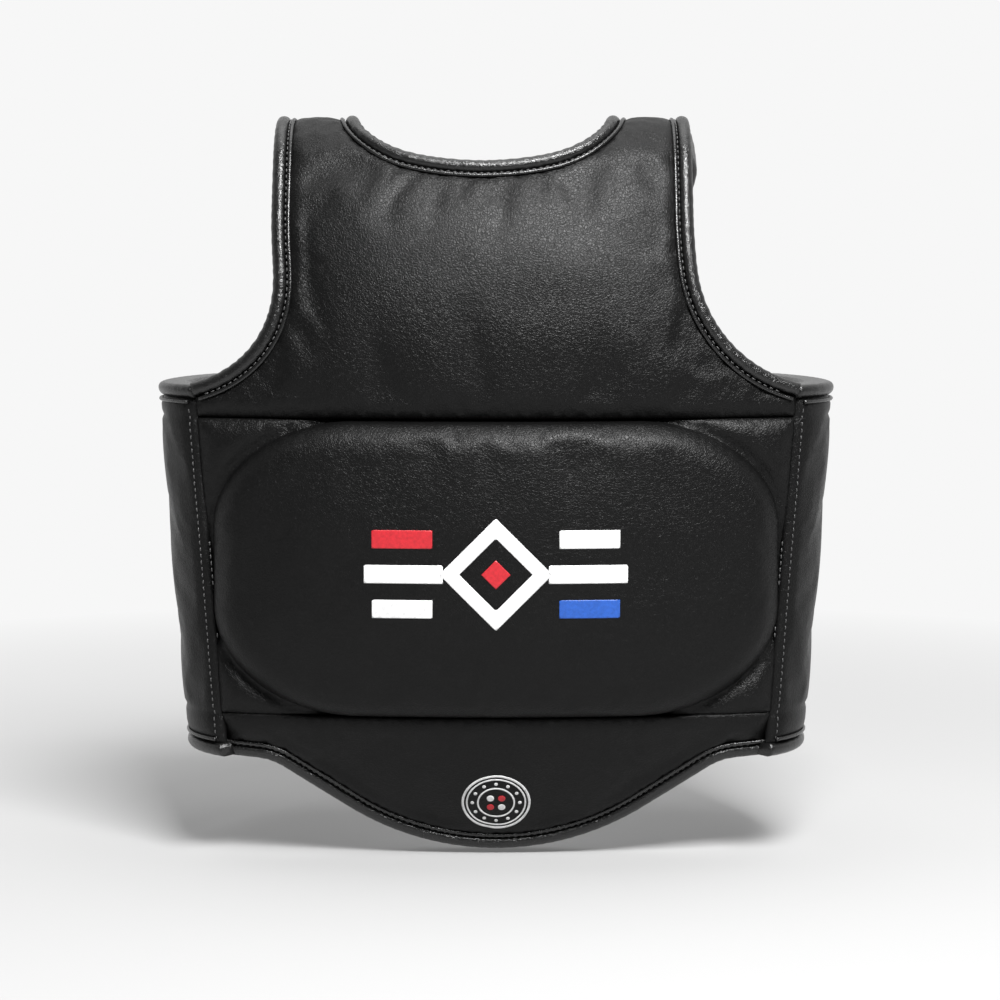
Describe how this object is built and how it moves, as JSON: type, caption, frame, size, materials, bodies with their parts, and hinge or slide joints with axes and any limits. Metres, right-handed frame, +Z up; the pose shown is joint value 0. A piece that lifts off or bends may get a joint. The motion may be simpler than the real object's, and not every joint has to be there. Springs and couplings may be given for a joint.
{
  "type": "chest protector",
  "caption": "Padded black body protector for martial arts and boxing: chest and belly panel with a raised oval pad, hinged side wings, shoulder pads and an adjustable back harness.",
  "frame": {"origin": "on the wearer's vertical centre line, level with the middle of the belly pad", "axes": "+Z up along the wearer's body, the front of the protector faces -Y, +X is to the right seen from the front"},
  "size_m": [0.4814, 0.273, 0.5182],
  "materials": {
    "black_leather": "satin",
    "edge_binding": "satin",
    "piping": "satin",
    "foam": "matte",
    "lining": "matte",
    "mark_print": "satin",
    "badge_print": "satin",
    "webbing": "matte",
    "elastic": "matte",
    "hook_and_loop": "matte",
    "ring_metal": "polished"
  },
  "bodies": {
    "front": {"badge": "badge_print", "belly_cover": "black_leather", "belly_foam": "foam", "belly_lining": "lining", "chest_cover": "black_leather", "chest_foam": "foam", "chest_lining": "lining", "hem_binding": "edge_binding", "hem_cover": "black_leather", "hem_foam": "foam", "hem_lining": "lining", "hem_piping": "piping", "left_armhole_binding": "edge_binding", "left_armhole_piping": "piping", "left_ring_keeper": "webbing", "left_shoulder_binding": "edge_binding", "left_shoulder_cover": "black_leather", "left_shoulder_foam": "foam", "neck_binding": "edge_binding", "neck_piping": "piping", "right_armhole_binding": "edge_binding", "right_armhole_piping": "piping", "right_ring_keeper": "webbing", "right_shoulder_binding": "edge_binding", "right_shoulder_cover": "black_leather", "right_shoulder_foam": "foam", "target_cover": "black_leather", "target_foam": "foam", "target_mark": "mark_print"},
    "left_wing": {"left_wing_binding": "edge_binding", "left_wing_cover": "black_leather", "left_wing_foam": "foam", "left_wing_lining": "lining", "left_wing_piping": "piping", "waist_anchor": "black_leather", "waist_root": "elastic"},
    "right_wing": {"right_wing_binding": "edge_binding", "right_wing_cover": "black_leather", "right_wing_foam": "foam", "right_wing_lining": "lining", "right_wing_piping": "piping", "waist_loop_patch": "hook_and_loop"},
    "waist_strap": {"waist_elastic": "elastic", "waist_hook_patch": "hook_and_loop", "waist_tab": "black_leather"},
    "left_ring": {"left_ring": "ring_metal"},
    "right_ring": {"right_ring": "ring_metal"},
    "back_harness": {"back_binding": "edge_binding", "back_cover": "black_leather", "back_foam": "foam", "back_hook_patch": "hook_and_loop", "back_lining": "lining", "left_back_strap": "webbing", "right_back_strap": "webbing"},
    "left_flap": {"left_flap_hook_patch": "hook_and_loop", "left_strap_flap": "webbing"},
    "right_flap": {"right_flap_hook_patch": "hook_and_loop", "right_strap_flap": "webbing"}
  },
  "joints": [
    {"name": "left_wing_open", "type": "hinge", "parent": "front", "child": "left_wing", "pos_m": [-0.20129, -0.09641, 0], "axis": [-0.0734, 0.0204, 0.9971], "range_deg": [0, 70]},
    {"name": "right_wing_open", "type": "hinge", "parent": "front", "child": "right_wing", "pos_m": [0.20129, -0.09641, 0], "axis": [-0.0734, -0.0204, -0.9971], "range_deg": [0, 70]},
    {"name": "waist_strap_peel", "type": "hinge", "parent": "left_wing", "child": "waist_strap", "pos_m": [-0.13899, 0.11081, 0], "axis": [-0.0734, 0.0204, 0.9971], "range_deg": [0, 100]},
    {"name": "left_ring_swing", "type": "hinge", "parent": "front", "child": "left_ring", "pos_m": [-0.078, 0.05785, 0.17581], "axis": [-1, 0, 0], "range_deg": [0, 30]},
    {"name": "right_ring_swing", "type": "hinge", "parent": "front", "child": "right_ring", "pos_m": [0.078, 0.05785, 0.17581], "axis": [-1, 0, 0], "range_deg": [0, 30]},
    {"name": "harness_swing", "type": "hinge", "parent": "left_ring", "child": "back_harness", "pos_m": [-0.078, 0.06783, 0.16083], "axis": [-1, 0, 0], "range_deg": [0, 30]},
    {"name": "left_flap_peel", "type": "hinge", "parent": "back_harness", "child": "left_flap", "pos_m": [-0.078, 0.0741, 0.15882], "axis": [1, 0, 0], "range_deg": [0, 150]},
    {"name": "right_flap_peel", "type": "hinge", "parent": "back_harness", "child": "right_flap", "pos_m": [0.078, 0.0741, 0.15882], "axis": [1, 0, 0], "range_deg": [0, 150]}
  ],
  "couplings": [
    {"joint": "waist_strap_peel", "follows": "right_wing_open", "ratio": 1.4},
    {"joint": "right_ring_swing", "follows": "left_ring_swing", "ratio": 1}
  ]
}
